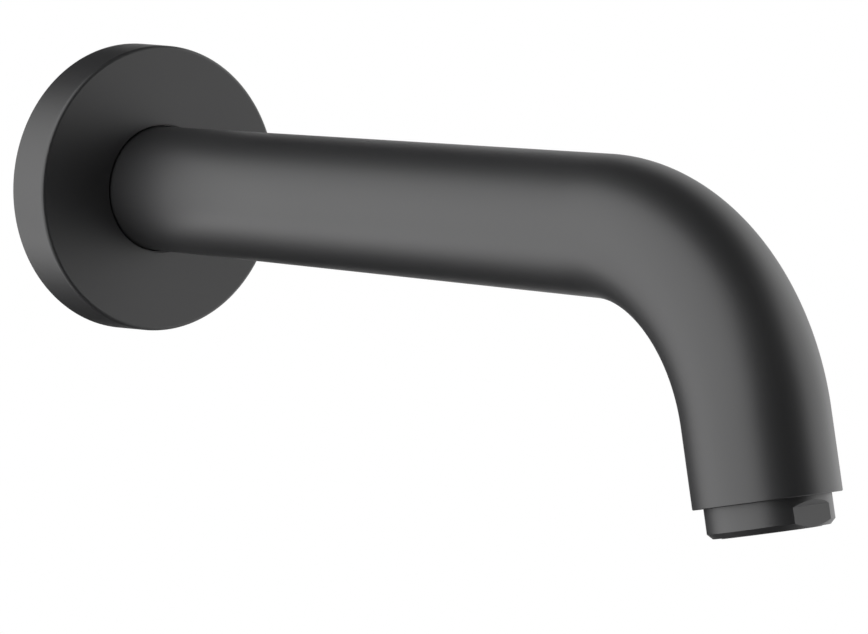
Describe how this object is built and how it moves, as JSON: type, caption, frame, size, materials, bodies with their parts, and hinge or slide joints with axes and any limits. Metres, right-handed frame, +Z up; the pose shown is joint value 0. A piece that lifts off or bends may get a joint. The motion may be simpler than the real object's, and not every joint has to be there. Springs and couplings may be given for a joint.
{
  "type": "bath spout",
  "caption": "Wall-mounted bath spout: straight round tube with a smooth downward bend, round wall flange, threaded nipple and screwed-in outlet insert with spanner flats.",
  "frame": {"origin": "on the axis of the connection nipple's pipe thread, in the plane of the finished wall, where the thread starts and the flange's rim ends", "axes": "+Y along the spout's axis into the wall, -Y the way the spout reaches out, +Z up, +X to the right for someone who faces the wall"},
  "size_m": [0.065, 0.2311, 0.0887],
  "materials": {
    "black_coating": "matt black powder coating on brass",
    "black_plating": "satin black lacquer on brass, a little smoother than the tube",
    "bare_brass": "turned",
    "screw_steel": "stainless",
    "black_rubber": "moulded",
    "seal_rubber": "matt",
    "insert_plastic": "moulded, dark grey"
  },
  "bodies": {
    "root": {"spout_tube": "black_coating", "inlet_bush": "bare_brass", "wall_flange": "black_coating", "hub_ring": "black_rubber", "wall_seal": "seal_rubber", "connection_nipple": "bare_brass", "face_seal": "seal_rubber", "nipple_ring_rear": "black_rubber", "nipple_ring_front": "black_rubber", "set_screw": "screw_steel", "mouth_housing": "black_plating", "seat_ring": "black_rubber", "flow_insert": "insert_plastic", "jet_former": "insert_plastic", "strainer": "insert_plastic", "outlet_comb": "insert_plastic"}
  },
  "joints": []
}
